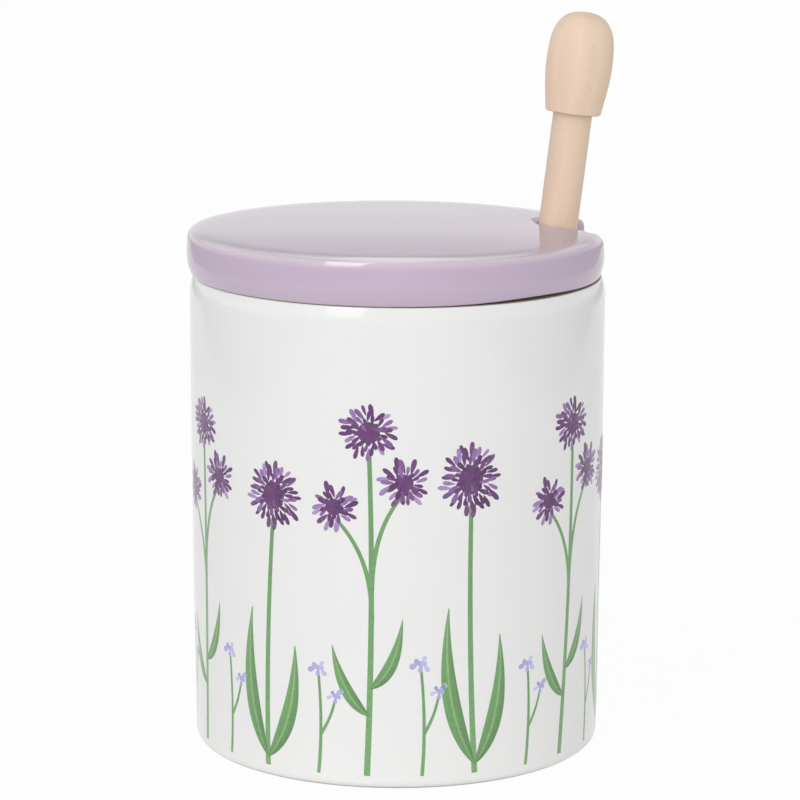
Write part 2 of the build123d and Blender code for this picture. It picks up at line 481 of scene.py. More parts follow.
def jar_outline(settings):
    """The jar's section from the middle of its base, up the outside and down the inside."""
    bore = settings.bore_radius
    floor = settings.floor_thickness
    slope_height, slope_width, edge = 3.6 * MM, 0.7 * MM, 0.55 * MM
    lean = math.atan(2 * slope_width / slope_height)
    rim_start = JAR_HEIGHT - slope_height - edge * (1 - math.sin(lean))
    base = rounded([(0, 0, 0), (wall_radius(0), 0, 1.8 * MM), (wall_radius(6 * MM), 6 * MM, 0)])[:-1]
    side_steps = 24
    side = []
    for step in range(1, side_steps + 1):
        height = 6 * MM + (rim_start - 6 * MM) * step / side_steps
        side.append(Vector((wall_radius(height), height)))
    rim = []
    for step in range(1, 13):
        share = step / 12
        radius = wall_radius(rim_start) - slope_width * share ** 2
        rim.append(Vector((radius, rim_start + slope_height * share)))
    brow = rim[-1].x
    for step in range(1, 9):
        turn = lerp(lean, math.pi / 2, step / 8)
        radius = brow - edge * (math.cos(lean) - math.cos(turn))
        rim.append(Vector((radius, JAR_HEIGHT - edge * (1 - math.sin(turn)))))
    inside = rounded([
        (brow - edge * math.cos(lean), JAR_HEIGHT, 0),
        (bore, JAR_HEIGHT, 1.2 * MM),
        (bore, floor, 9 * MM),
        (0, floor, 0),
    ], steps=14)
    return base + side + rim + inside[1:]


class HONEYPOT_OT_jar(bpy.types.Operator):
    """Add the glazed jar"""

    bl_idname = "honey_pot.jar"
    bl_label = "Jar"

    def execute(self, context):
        settings = context.scene.honey_pot
        vertices, faces = lathe(jar_outline(settings), settings.segments)
        jar = add_piece("stoneware_jar", tilted(vertices), faces, jar_glaze(settings))
        put_in_place(jar, "jar", "jar")
        return {"FINISHED"}


# --- Lid ---

LID_CENTRE = Vector((-0.43 * MM, 0))
LID_RADIUS = 44.62 * MM
LID_EDGE_HEIGHT = 9.2 * MM
LID_BELLY_HEIGHT = 4.5 * MM
LID_INSET = 0.28 * MM
LID_FOOT_INSET = 0.95 * MM
SHOULDER_RADIUS = 37 * MM
SHOULDER_HEIGHT = JAR_HEIGHT + 9.8 * MM
NOTCH_NEAR = 8.0 * MM
NOTCH_FAR = 7.3 * MM
NOTCH_GAP = 0.4 * MM
NOTCH_SKEW = math.radians(50)
NOTCH_BEND = 1.3 * MM
NOTCH_CORNER = 5.5 * MM
MOUTH_NEAR = 4.6 * MM
MOUTH_FAR = 1.2 * MM
LIP_TURN = 0.3              # the lid's edge starts to soften this far round before the near mouth
SEAT_GAP = 0.08             # millimetres between the lid's uneven foot and the jar's rim
SEAT_LIFT = 0.55            # how many more there are where the foot stands off most
SEAT_LIFT_TURN = math.radians(-48)
SEAT_LIFT_SPREAD = math.radians(20)
STICK_RADIUS = 4.2 * MM
RING_OUTER = 37.4 * MM
RING_INNER = 32.8 * MM
RING_DEPTH = 5.0 * MM


def lid_top(place, settings):
    """Height of the lid's top at a place: a low dome whose outer band falls away to the edge."""
    radius = (Vector(place[:2]) - LID_CENTRE).length
    rise = settings.dome_rise
    slope = 2 * rise / SHOULDER_RADIUS
    if radius < SHOULDER_RADIUS:
        return SHOULDER_HEIGHT + rise * (1 - (radius / SHOULDER_RADIUS) ** 2)
    beyond = radius - SHOULDER_RADIUS
    width = LID_RADIUS - 0.68 * MM - SHOULDER_RADIUS
    drop = SHOULDER_HEIGHT - JAR_HEIGHT - LID_EDGE_HEIGHT - slope * width
    return SHOULDER_HEIGHT - slope * beyond - drop * (beyond / width) ** 2.5


def notch_frame():
    """Unit vectors along the notch's middle line and across it."""
    along = Vector((math.cos(NOTCH_AZIMUTH), math.sin(NOTCH_AZIMUTH)))
    return along, Vector((-along.y, along.x))


def mouth_pivot(centre, across, radius):
    """Middle of the arc that rounds a corner of the notch's mouth, and where that arc meets the rim."""
    ahead = math.sqrt((LID_RADIUS - radius) ** 2 - (across - centre.y) ** 2)
    return Vector((centre.x + ahead, across)), math.atan2(across - centre.y, ahead)


def arc(centre, radius, start, end, steps, side, edges):
    """Points along an arc: place, outward normal, and an edge that is eased from the first to the second."""
    points = []
    for step in range(steps):
        angle = lerp(start, end, step / steps)
        direction = Vector((math.cos(angle), math.sin(angle)))
        points.append((centre + direction * radius, direction * side, blended(edges, ease(step / steps))))
    return points


def line(start, end, normal, steps, edges):
    """Points along a straight wall, with the same parts as an arc's."""
    return [
        (start.lerp(end, step / steps), normal, blended(edges, ease(step / steps))) for step in range(steps)
    ]


def blended(edges, share):
    return [lerp(first, last, share) for first, last in zip(*edges)]


def lid_plan(height, settings):
    """The lid's plan at a height, counter-clockwise from the far mouth.

    Each point is (place, outward normal, (notch share, edge width, edge height)). The notch share is 0 along
    the rim and 1 inside the notch; the other two say how the upper edge is rounded there. The near inner
    corner fits closely round the stick, and the far side is worn soft.
    """
    along, across = notch_frame()
    centre = Vector((LID_CENTRE.dot(along), LID_CENTRE.dot(across)))
    rim = (0.0, settings.rim_edge_width, settings.rim_edge_height)
    lip = (0.0, 1.9 * MM, 2.6 * MM)
    mouth = (0.5, settings.mouth_edge_width, settings.mouth_edge_height)
    near = (1.0, 1.4 * MM, 1.1 * MM)
    close = (1.0, settings.notch_edge_round, settings.notch_edge_round)
    corner = (1.0, 1.4 * MM, 0.9 * MM)
    soft = (1.0, settings.soft_edge_width, settings.soft_edge_height)
    far = (1.0, 0.9 * MM, 1.2 * MM)
    stick = Vector((DIPPER_FOOT_RADIUS + math.tan(DIPPER_LEAN) * (height - dipper_foot_height()), 0))
    hug = STICK_RADIUS / math.cos(DIPPER_LEAN) + NOTCH_GAP
    inner = stick.x - hug
    turn = math.pi / 2 - NOTCH_SKEW
    slant = (NOTCH_NEAR - hug * math.tan(turn / 2)) / math.tan(NOTCH_SKEW)
    bend = Vector((inner + slant + NOTCH_BEND * math.tan(NOTCH_SKEW / 2), NOTCH_BEND - NOTCH_NEAR))
    bend_end = -math.pi / 2 - NOTCH_SKEW
    skewed = Vector((math.cos(bend_end), math.sin(bend_end)))
    inner_corner = Vector((inner + NOTCH_CORNER, NOTCH_FAR - NOTCH_CORNER))
    far_pivot, far_angle = mouth_pivot(centre, NOTCH_FAR + MOUTH_FAR, MOUTH_FAR)
    near_pivot, near_angle = mouth_pivot(centre, -NOTCH_NEAR - MOUTH_NEAR, MOUTH_NEAR)
    half = (near_angle + math.pi / 2) / 2
    up, right = Vector((0, 1)), Vector((1, 0))
    blend = TAU + near_angle - LIP_TURN
    points = arc(centre, LID_RADIUS, far_angle, blend, 405, 1, (rim, rim))
    points += arc(centre, LID_RADIUS, blend, TAU + near_angle, 25, 1, (rim, lip))
    points += arc(near_pivot, MOUTH_NEAR, near_angle, half, 16, 1, (lip, mouth))
    points += arc(near_pivot, MOUTH_NEAR, half, math.pi / 2, 16, 1, (mouth, near))
    points += line(near_pivot + up * MOUTH_NEAR, bend - up * NOTCH_BEND, up, 4, (near, near))
    points += arc(bend, NOTCH_BEND, -math.pi / 2, bend_end, 10, -1, (near, close))
    points += line(bend + skewed * NOTCH_BEND, stick + skewed * hug, -skewed, 10, (close, close))
    points += arc(stick, hug, TAU + bend_end, math.pi, 14, -1, (close, close))
    points += line(stick - right * hug, inner_corner - right * NOTCH_CORNER, right, 5, (close, corner))
    points += arc(inner_corner, NOTCH_CORNER, math.pi, math.pi / 2, 22, -1, (corner, soft))
    points += line(inner_corner + up * NOTCH_CORNER, far_pivot - up * MOUTH_FAR, -up, 8, (soft, far))
    points += arc(far_pivot, MOUTH_FAR, -math.pi / 2, far_angle, 20, 1, (far, rim))
    return [
        (along * place.x + across * place.y, along * normal.x + across * normal.y, edge)
        for place, normal, edge in points
    ]


def ease(share):
    return share * share * (3 - 2 * share)


def lerp(first, second, share):
    return first + (second - first) * share


def lid_rings(settings):
    """Rings of points from the seat's edge up the lid's side and over its upper edge."""
    seat_steps, side_steps, top_steps = 6, 24, 14
    plans = {}

    def plan(height):
        key = round(height / (0.01 * MM))
        if key not in plans:
            plans[key] = lid_plan(key * 0.01 * MM, settings)
        return plans[key]

    top_plan = plan(JAR_HEIGHT + LID_EDGE_HEIGHT)
    rings = []
    for step in range(seat_steps + side_steps + top_steps + 1):
        points = []
        for index, (place, normal, (share, edge_width, edge_height)) in enumerate(top_plan):
            seat = lerp(0.35 * MM, 0.8 * MM, share)
            low = JAR_HEIGHT + seat
            high = lid_top(place - normal * edge_width, settings) - edge_height
            if step <= seat_steps:
                turn = step / seat_steps * math.pi / 2
                height = JAR_HEIGHT + seat * (1 - math.cos(turn))
                inward = seat * (1 - math.sin(turn))
            elif step <= seat_steps + side_steps:
                height = lerp(low, high, (step - seat_steps) / side_steps)
                inward = 0
            else:
                turn = (step - seat_steps - side_steps) / top_steps * math.pi / 2
                height = high + edge_height * math.sin(turn)
                inward = edge_width * (1 - math.cos(turn))
            here, outward, _ = plan(height)[index]
            belly = (height - JAR_HEIGHT - LID_BELLY_HEIGHT) / LID_BELLY_HEIGHT
            inset = LID_INSET if belly > 0 else LID_FOOT_INSET
            inward += (1 - share) * inset * min(1, belly * belly)
            here = here - outward * inward
            if step == seat_steps + side_steps + top_steps:
                height = lid_top(here, settings)
            lift = seat_gap(here) * max(0, 1 - (height - JAR_HEIGHT) / (3 * MM))
            points.append((here.x, here.y, height + lift))
        rings.append(points)
    return rings


def seat_gap(place):
    """How far the lid's uneven foot stands off the jar's rim at a place: most at the right of the front."""
    place = Vector(place[:2])
    turn = math.atan2(place.y, place.x) - SEAT_LIFT_TURN
    widest = math.exp(-(turn / SEAT_LIFT_SPREAD) ** 2)
    return (SEAT_GAP + SEAT_LIFT * widest) * MM * min(1, place.length / (40 * MM)) ** 4


def filled(boundary, spacing, height_at, upwards):
    """Vertices and triangles that fill a closed boundary with an even grid, raised to a height."""
    flat = [Vector(place[:2]) for place in boundary]
    count = len(flat)
    reach = LID_RADIUS - 1.5 * spacing
    rows = int(LID_RADIUS / spacing) + 1
    extra = []
    for number in range(-rows, rows + 1):
        for column in range(-rows, rows + 1):
            shift = 0.5 * (number % 2)
            here = Vector(((column + shift) * spacing, number * spacing * math.sqrt(3) / 2)) + LID_CENTRE
            if (here - LID_CENTRE).length < reach and clear_of_notch(here, flat, 0.7 * spacing):
                extra.append(here)
    edges = [(index, (index + 1) % count) for index in range(count)]
    points, _, triangles, originals, _, _ = delaunay_2d_cdt(flat + extra, edges, [], 1, 1e-9)
    vertices = [(point.x, point.y, height_at(point)) for point in points]
    faces = [tuple(face) if upwards else tuple(reversed(face)) for face in triangles]
    return vertices, faces, originals


def clear_of_notch(here, boundary, gap):
    """Whether a place is on the lid's side of the boundary and not too near it."""
    along, across = notch_frame()
    if here.dot(along) < 20 * MM or abs(here.dot(across)) > 18 * MM:
        return True
    crossings = 0
    for start, end in zip(boundary, boundary[1:] + boundary[:1]):
        if (start - here).length < gap:
            return False
        if (start.y > here.y) != (end.y > here.y):
            share = (here.y - start.y) / (end.y - start.y)
            crossings += lerp(start.x, end.x, share) > here.x
    return crossings % 2 == 1


def lid_mesh(settings):
    """The lid's body: its side rings, closed by the domed top and the flat seat."""
    rings = lid_rings(settings)
    count = len(rings[0])
    vertices = [point for ring in rings for point in ring]
    faces = []
    for ring in range(len(rings) - 1):
        faces += band(ring * count, (ring + 1) * count, count)
    top = filled(rings[-1], 1.3 * MM, lambda place: lid_top(place, settings), True)
    seat = filled(rings[0], 3 * MM, lambda place: JAR_HEIGHT + seat_gap(place), False)
    for (points, triangles, originals), base in ((top, (len(rings) - 1) * count), (seat, 0)):
        numbers = []
        for index, point in enumerate(points):
            source = [number for number in originals[index] if number < count]
            if source:
                numbers.append(base + source[0])
            else:
                numbers.append(len(vertices))
                vertices.append(point)
        faces += [tuple(numbers[number] for number in triangle) for triangle in triangles]
    return vertices, faces


def lid_ring_mesh():
    """The locating ring under the lid, open where the notch cuts it, sunk a little into the lid."""
    top = JAR_HEIGHT + 0.6 * MM
    foot = JAR_HEIGHT - RING_DEPTH
    edge = 1.0 * MM
    corners = [(RING_INNER, top, 0), (RING_INNER, foot, edge), (RING_OUTER, foot, edge), (RING_OUTER, top, 0)]
    section = rounded(corners)
    steps = 240
    vertices, faces = [], []
    for step in range(steps + 1):
        for radius, height in section:
            start = math.asin((NOTCH_FAR + 0.15 * MM) / radius)
            end = TAU - math.asin((NOTCH_NEAR + 0.15 * MM) / radius)
            angle = NOTCH_AZIMUTH + lerp(start, end, step / steps)
            vertices.append((LID_CENTRE.x + radius * math.cos(angle), radius * math.sin(angle), height))
    size = len(section)
    for step in range(steps):
        for index in range(size):
            following = (index + 1) % size
            low, high = step * size, (step + 1) * size
            faces.append((low + index, high + index, high + following, low + following))
    faces.append(tuple(range(size)))
    faces.append(tuple(steps * size + index for index in reversed(range(size))))
    return vertices, faces


def mark_edges(mesh):
    """Store how near each point is to the lid's upper edge, where the lid's colour is made paler."""
    ring, ring_width, band = LID_RADIUS - 0.9 * MM, 1.0 * MM, 1.6 * MM
    attribute = mesh.attributes.new("edge", "FLOAT", "POINT")
    for index, vertex in enumerate(mesh.vertices):
        radius = (Vector(vertex.co[:2]) - LID_CENTRE).length
        rim = math.exp(-((radius - ring) / ring_width) ** 2)
        high = max(0.0, 1 - abs(vertex.co.z - (JAR_HEIGHT + LID_EDGE_HEIGHT)) / band)
        attribute.data[index].value = rim * high


class HONEYPOT_OT_lid(bpy.types.Operator):
    """Add the thick lilac lid with its notch"""

    bl_idname = "honey_pot.lid"
    bl_label = "Lid"

    def execute(self, context):
        settings = context.scene.honey_pot
        vertices, faces = lid_mesh(settings)
        ring_vertices, ring_faces = lid_ring_mesh()
        shift = len(vertices)
        faces += [tuple(number + shift for number in face) for face in ring_faces]
        lid = add_piece("stoneware_lid", tilted(vertices + ring_vertices), faces, lid_glaze(settings))
        mark_edges(lid.data)
        put_in_place(lid, "lid", "lid")
        return {"FINISHED"}


# --- Dipper ---

HEAD_LENGTH = 40 * MM
HEAD_RADIUS = 11 * MM
HEAD_BULGE = 26 * MM
HEAD_CORE = 5.4 * MM
GROOVES = 6
HEAD_SOCKET = 18 * MM
KNOB_LENGTH = 21.7 * MM
KNOB_SOCKET = 12 * MM
FOOT_LEVEL = 5.2 * MM       # the dipper's foot just clears the jar's floor


def head_radius(height):
    """Radius of the ribs' edges at a height above the dipper's foot."""
    return HEAD_RADIUS * math.sqrt(1 - ((height - HEAD_LENGTH / 2) / HEAD_BULGE) ** 2)


def dipper_foot_height():
    """Height of the middle of the dipper's end when its rounded edge stands on the jar's floor."""
    end_round = 2.0 * MM
    flat = head_radius(0) - end_round
    return FOOT_LEVEL + end_round * (1 - math.cos(DIPPER_LEAN)) + flat * math.sin(DIPPER_LEAN)


def dipper_matrix():
    """Place and lean of the dipper: its own +Z runs from its foot to the top of its knob."""
    foot = Vector((
        DIPPER_FOOT_RADIUS * math.cos(NOTCH_AZIMUTH), DIPPER_FOOT_RADIUS * math.sin(NOTCH_AZIMUTH),
        dipper_foot_height(),
    ))
    turn = Matrix.Rotation(NOTCH_AZIMUTH, 4, "Z") @ Matrix.Rotation(DIPPER_LEAN, 4, "Y")
    return Matrix.Translation(foot) @ turn


def head_outline():
    """Section of the grooved head, from the middle of its foot to the middle of its top."""
    pitch, groove = HEAD_LENGTH / (GROOVES + 1), 2.6 * MM
    foot = [(0, 0, 0), (head_radius(0), 0, 2 * MM), (head_radius(3 * MM), 3 * MM, 0)]
    outline = rounded(foot, steps=6)[:-1]
    for number in range(1, GROOVES + 1):
        low, high = number * pitch - groove / 2, number * pitch + groove / 2
        edge_low, edge_high = head_radius(low), head_radius(high)
        outline += rounded([
            (head_radius(low - 0.8 * MM), low - 0.8 * MM, 0),
            (edge_low, low, 0.35 * MM),
            (HEAD_CORE, low, 0.5 * MM),
            (HEAD_CORE, high, 0.5 * MM),
            (edge_high, high, 0.35 * MM),
            (head_radius(high + 0.8 * MM), high + 0.8 * MM, 0),
        ], steps=4, support=0.1 * MM)
    outline += rounded([
        (head_radius(HEAD_LENGTH - 3 * MM), HEAD_LENGTH - 3 * MM, 0),
        (head_radius(HEAD_LENGTH), HEAD_LENGTH, 2 * MM),
        (0, HEAD_LENGTH, 0),
    ], steps=6)[1:]
    return outline


def knob_outline():
    """Section of the egg-shaped knob: flat under, fullest above its middle, round on top."""
    profile = (
        (6.02, 0.75), (6.2, 1.9), (6.42, 3.4), (6.72, 5.5), (6.95, 7.6), (7.07, 9.6), (7.09, 11.3),
        (7.03, 13.2), (6.85, 15.1), (6.52, 16.8), (6.0, 18.2), (5.25, 19.5), (4.25, 20.5), (3.0, 21.2),
        (1.5, 21.58), (0, 21.67),
    )
    low = rounded([(0, 0, 0), (5.95 * MM, 0, 0.5 * MM), (6.02 * MM, 0.75 * MM, 0)], steps=6, support=0.1 * MM)
    smooth = smooth_path([Vector((radius * MM, height * MM)) for radius, height in profile], 5)
    return low[:-1] + smooth


def smooth_path(points, steps):
    """A curve through every point, straight on at both ends."""
    result = []
    for index in range(len(points) - 1):
        before = points[max(0, index - 1)]
        start, end = points[index], points[index + 1]
        after = points[min(len(points) - 1, index + 2)]
        for step in range(steps):
            share = step / steps
            result.append(catmull(before, start, end, after, share))
    return result + [points[-1]]


def catmull(before, start, end, after, share):
    """A point of the Catmull-Rom curve between start and end."""
    square, cube = share ** 2, share ** 3
    return (
        start * 2 + (end - before) * share + (before * 2 - start * 5 + end * 4 - after) * square
        + (start * 3 - before - end * 3 + after) * cube
    ) / 2


class HONEYPOT_OT_dipper(bpy.types.Operator):
    """Add the dipper: its stick, its knob and its grooved head"""

    bl_idname = "honey_pot.dipper"
    bl_label = "Dipper"

    def execute(self, context):
        settings = context.scene.honey_pot
        matrix = dipper_matrix()
        start, end = HEAD_LENGTH - HEAD_SOCKET, DIPPER_LENGTH - KNOB_LENGTH + KNOB_SOCKET
        edge = 0.3 * MM
        stick = rounded([(0, start, 0), (STICK_RADIUS, start, edge), (STICK_RADIUS, end, edge), (0, end, 0)])
        knob = [point + Vector((0, DIPPER_LENGTH - KNOB_LENGTH)) for point in knob_outline()]
        wood = tuple(settings.wood_colour)
        pieces = (
            ("dipper_stick", stick, 96, "stick_wood", shade(wood, 0.95), 0.3),
            ("dipper_knob", knob, 128, "knob_wood", shade(wood, 1.0), 0.3),
            ("dipper_head", head_outline(), 96, "head_wood", shade(wood, 0.97), 0.4),
        )
        for node, outline, segments, slot, colour, fleck in pieces:
            vertices, faces = lathe(outline, segments)
            material = dipper_wood(slot, colour, settings, fleck)
            piece = add_piece("turned_" + node, vertices, faces, material, matrix)
            put_in_place(piece, "dipper", node)
        return {"FINISHED"}


# --- Printed frieze ---
# The frieze is laid out flat, with x along the wall, y into it and z up, and is then wrapped round the jar.

def slab(graph, shape, thickness):
    """Give flat faces that look along -Y a thickness, closed at the back and the sides."""
    values = {"Geometry": shape, "Translation": graph.vector(y=thickness)}
    moved = graph.add("GeometryNodeTransform", None, values)
    front = graph.add("GeometryNodeExtrudeMesh", {"mode": "FACES"}, {
        "Mesh": moved, "Offset": graph.vector(y=-1.0), "Offset Scale": thickness, "Individual": False,
    }, out="Mesh")
    back = graph.add("GeometryNodeFlipFaces", None, {"Mesh": moved})
    values = {"Geometry": joined(graph, back, front), "Distance": 1e-7}
    return graph.add("GeometryNodeMergeByDistance", None, values)


def tinted(graph, shape, value):
    """Store a tint on a shape's points, for the print's colours."""
    settings = {"data_type": "FLOAT", "domain": "POINT"}
    values = {"Geometry": shape, "Name": "tint", "Value": value}
    return graph.add("GeometryNodeStoreNamedAttribute", settings, values)


def random_value(graph, low, high, seed):
    values = {"Min_001": low, "Max_001": high, "Seed": seed}
    return graph.add("FunctionNodeRandomValue", {"data_type": "FLOAT"}, values, out="Value_001")


def circled(graph, angle):
    """The cosine and the sine of an angle."""
    return graph.math("COSINE", angle), graph.math("SINE", angle)


def moved_points(graph, shape, position):
    return graph.add("GeometryNodeSetPosition", None, {"Geometry": shape, "Position": position})


def ribbon(graph, path, half_width, leaf, lift, thickness):
    """A stem or a leaf: a strip along a bent path, even like a stem or pointed like a leaf."""
    rows = 22
    columns = 9 if leaf else 3
    grid = graph.add("GeometryNodeMeshGrid", None, {
        "Size X": 2.0, "Size Y": 1.0, "Vertices X": columns, "Vertices Y": rows,
    }, out="Mesh")
    x, y, _ = graph.parts(graph.add("GeometryNodeInputPosition"))
    v = y + 0.5
    start, bend, end = path
    ahead = 1 - v
    centre = [ahead * ahead * first + v * ahead * (2 * middle) + v * v * last
              for first, middle, last in zip(start, bend, end)]
    slope = [ahead * (2 * (middle - first)) + v * (2 * (last - middle))
             for first, middle, last in zip(start, bend, end)]
    length = (slope[0] * slope[0] + slope[1] * slope[1]) ** 0.5
    if leaf:
        width = (graph.math("SINE", v ** 0.8 * math.pi) + 0.06) * half_width
    else:
        width = (1.12 - v * 0.34) * half_width
    side = x * width / length
    place = graph.vector(centre[0] + side * slope[1], -lift, centre[1] - side * slope[0])
    if leaf:
        rib = graph.math("MAXIMUM", 1 - graph.math("ABSOLUTE", x) * 4, 0.0)
        tint = 0.85 - v * 0.3 + x * 0.16 - rib * 0.55
    else:
        tint = 0.45 + v * 0.2
    strip = moved_points(graph, tinted(graph, grid, tint), place)
    return slab(graph, strip, thickness)


def petal(graph, length, width, thickness):
    """A rounded petal round the origin, most of it along +Z."""
    disc = graph.add("GeometryNodeMeshCircle", {"fill_type": "NGON"}, {"Vertices": 10, "Radius": 1.0})
    x, y, _ = graph.parts(graph.add("GeometryNodeInputPosition"))
    place = graph.vector(x * (0.66 + y * 0.34) * (width / 2), 0.0, (y + 0.4) * (length / 2))
    return slab(graph, moved_points(graph, disc, place), thickness)


def blossom(graph, shape, centre, size, count, seed, lift):
    """A round head of small petals that point outwards, set on a sunflower spiral."""
    index = graph.add("GeometryNodeInputIndex")
    ratio = ((index + 0.5) / count) ** 0.5
    angle = index * GOLDEN_ANGLE
    reach = ratio * 0.78 + 0.04
    cosine, sine = circled(graph, angle)
    place = graph.vector(
        cosine * reach * size[0] + centre[0], ratio * (0.4 * lift) - lift, sine * reach * size[1] + centre[1],
    )
    points = graph.add("GeometryNodePoints", None, {"Count": count, "Position": place})
    wobble = random_value(graph, -0.4, 0.4, seed)
    grow = random_value(graph, 0.75, 1.2, seed + 1)
    tint = random_value(graph, -0.3, 0.55, seed + 2)
    points = tinted(graph, points, tint + ratio * 0.45)
    turn = graph.vector(0.0, math.pi / 2 - angle + wobble, 0.0)
    scale = graph.vector(grow, 1.0, grow * (0.7 + ratio * 0.5))
    petals = graph.add("GeometryNodeInstanceOnPoints", None, {
        "Points": points, "Instance": shape, "Rotation": turn, "Scale": scale,
    })
    return joined(graph, core(graph, centre, size, lift), petals)


def core(graph, centre, size, lift):
    """The crowded middle of a flower head, behind its petals."""
    values = {"Vertices": 24, "Radius": 0.42}
    disc = graph.add("GeometryNodeMeshCircle", {"fill_type": "TRIANGLE_FAN"}, values)
    x, y, _ = graph.parts(graph.add("GeometryNodeInputPosition"))
    place = graph.vector(x * size[0] + centre[0], -0.5 * lift, y * size[1] + centre[1])
    return tinted(graph, slab(graph, moved_points(graph, disc, place), PRINT_RELIEF), 0.3)


def joined(graph, *shapes):
    return graph.add("GeometryNodeJoinGeometry", None, {"Geometry": shapes})


def row(graph, shape, count, pitch, offset, sway, seed):
    """Copies of a sprig along the wall, each with its own small sway and height."""
    index = graph.add("GeometryNodeInputIndex")
    points = graph.add("GeometryNodePoints", None, {
        "Count": count, "Position": graph.vector(index * pitch + offset, 0.0, 0.0)})
    lean = random_value(graph, -sway, sway, seed)
    tall = random_value(graph, 0.90, 1.04, seed + 1)
    return graph.add("GeometryNodeInstanceOnPoints", None, {
        "Points": points, "Instance": shape,
        "Rotation": graph.vector(0.0, lean, 0.0), "Scale": graph.vector(1.0, 1.0, tall),
    })


def wrapped(graph, shape, start):
    """Wrap the flat frieze round the jar's wall."""
    x, y, z = graph.parts(graph.add("GeometryNodeInputPosition"))
    taper = (SIDE_TOP - z) / SIDE_TOP
    radius = (JAR_RADIUS - PRINT_RELIEF) - taper * taper * BASE_TAPER - y
    angle = x / JAR_RADIUS + start
    cosine, sine = circled(graph, angle)
    place = graph.vector(cosine * radius, sine * radius, z)
    return moved_points(graph, shape, place)


def frieze_tree(settings, materials):
    """The geometry tree that draws the frieze: two kinds of sprig in turn, with small flowers between."""
    tree = bpy.data.node_groups.new("printed_frieze", "GeometryNodeTree")
    for name, kind, value in (
        ("Sprigs of each kind", "NodeSocketInt", 6),
        ("Petal length", "NodeSocketFloat", 0.0026),
        ("Petal width", "NodeSocketFloat", 0.0013),
        ("Stem half width", "NodeSocketFloat", 0.0006),
    ):
        socket = tree.interface.new_socket(name=name, in_out="INPUT", socket_type=kind)
        socket.default_value = value
    tree.interface.new_socket(name="Geometry", in_out="OUTPUT", socket_type="NodeSocketGeometry")
    graph = Graph(tree)
    given = graph.add("NodeGroupInput")
    outputs = given.socket.node.outputs
    count, petal_length, petal_width, stem = [Socket(graph, output) for output in outputs][:4]
    thick = PRINT_RELIEF * 1.6
    flower_petal = petal(graph, petal_length, petal_width, thick)
    small_petal = petal(graph, petal_length * 0.62, petal_width * 1.15, thick)
    pitch = TAU * JAR_RADIUS / count
    lift = PRINT_RELIEF * 0.3

    def in_mm(points):
        return [tuple(number * MM for number in point) for point in points]

    def stalk(share, *path):
        return ribbon(graph, in_mm(path), stem * share, False, lift, thick)

    def leaf(share, *path):
        return ribbon(graph, in_mm(path), stem * share, True, lift * 1.4, thick)

    def head(centre, size, petals, seed):
        return blossom(graph, flower_petal, *in_mm((centre, size)), petals, seed, PRINT_RELIEF * 0.9)

    def small_head(centre, size, petals, seed):
        return blossom(graph, small_petal, *in_mm((centre, size)), petals, seed, PRINT_RELIEF * 0.7)

    branching_stems = joined(
        graph,
        stalk(1, (0, 3), (1.6, 40), (0.4, 72)),
        stalk(0.8, (0.95, 36), (1.5, 50), (-6.6, 58)),
        stalk(0.8, (0.95, 43), (1.2, 56), (7.0, 63)),
        leaf(2.1, (0.5, 16), (-5.5, 20), (-7.5, 31)),
        leaf(2.1, (0.5, 22), (6.2, 25), (7.4, 37)),
    )
    branching_heads = joined(
        graph,
        head((0.3, 76.5), (5.6, 5.4), 44, 3),
        head((-7.0, 60.5), (4.4, 4.2), 30, 13),
        head((7.6, 66), (4.6, 4.4), 32, 23),
    )
    single_stems = joined(
        graph,
        stalk(1, (0, 3), (-1.2, 30), (0, 62)),
        leaf(2.9, (0, 5), (-7.5, 18), (-5.2, 40)),
        leaf(2.9, (0, 5), (7.2, 14), (6.2, 33)),
    )
    single_head = head((0, 67.5), (6.4, 7.6), 62, 33)
    posy_stems = joined(
        graph,
        stalk(0.6, (0, 3), (0.8, 14), (-0.6, 26)),
        stalk(0.55, (0.3, 12), (2.6, 16), (3.2, 20)),
    )
    posy_heads = joined(
        graph,
        small_head((-0.7, 27), (1.5, 1.5), 6, 43),
        small_head((3.3, 21), (1.3, 1.3), 5, 53),
    )
    tall, single = (0.0, 0.035, 5), (0.5, 0.045, 8)
    first_posy, second_posy = (0.25, 0.05, 11), (0.77, 0.05, 14)
    groups = (
        (((branching_stems, *tall), (single_stems, *single), (posy_stems, *first_posy),
          (posy_stems, *second_posy)), materials[0]),
        (((branching_heads, *tall), (single_head, *single)), materials[1]),
        (((posy_heads, *first_posy), (posy_heads, *second_posy)), materials[2]),
    )
    parts = []
    for members, material in groups:
        rows = [
            row(graph, shape, count, pitch, pitch * share, sway, seed) for shape, share, sway, seed in members
        ]
        real = graph.add("GeometryNodeRealizeInstances", None, {"Geometry": joined(graph, *rows)})
        around = wrapped(graph, real, math.radians(settings.frieze_turn))
        parts.append(graph.add("GeometryNodeSetMaterial", None, {"Geometry": around, "Material": material}))
    graph.add("NodeGroupOutput", None, {"Geometry": joined(graph, *parts)})
    return tree


def set_tree_value(modifier, name, value):
    """Give a geometry modifier's named input a value, by its socket's identifier."""
    for item in modifier.node_group.interface.items_tree:
        if item.name == name and item.in_out == "INPUT":
            modifier[item.identifier] = value
            return
    raise RuntimeError("the tree has no input named " + name)


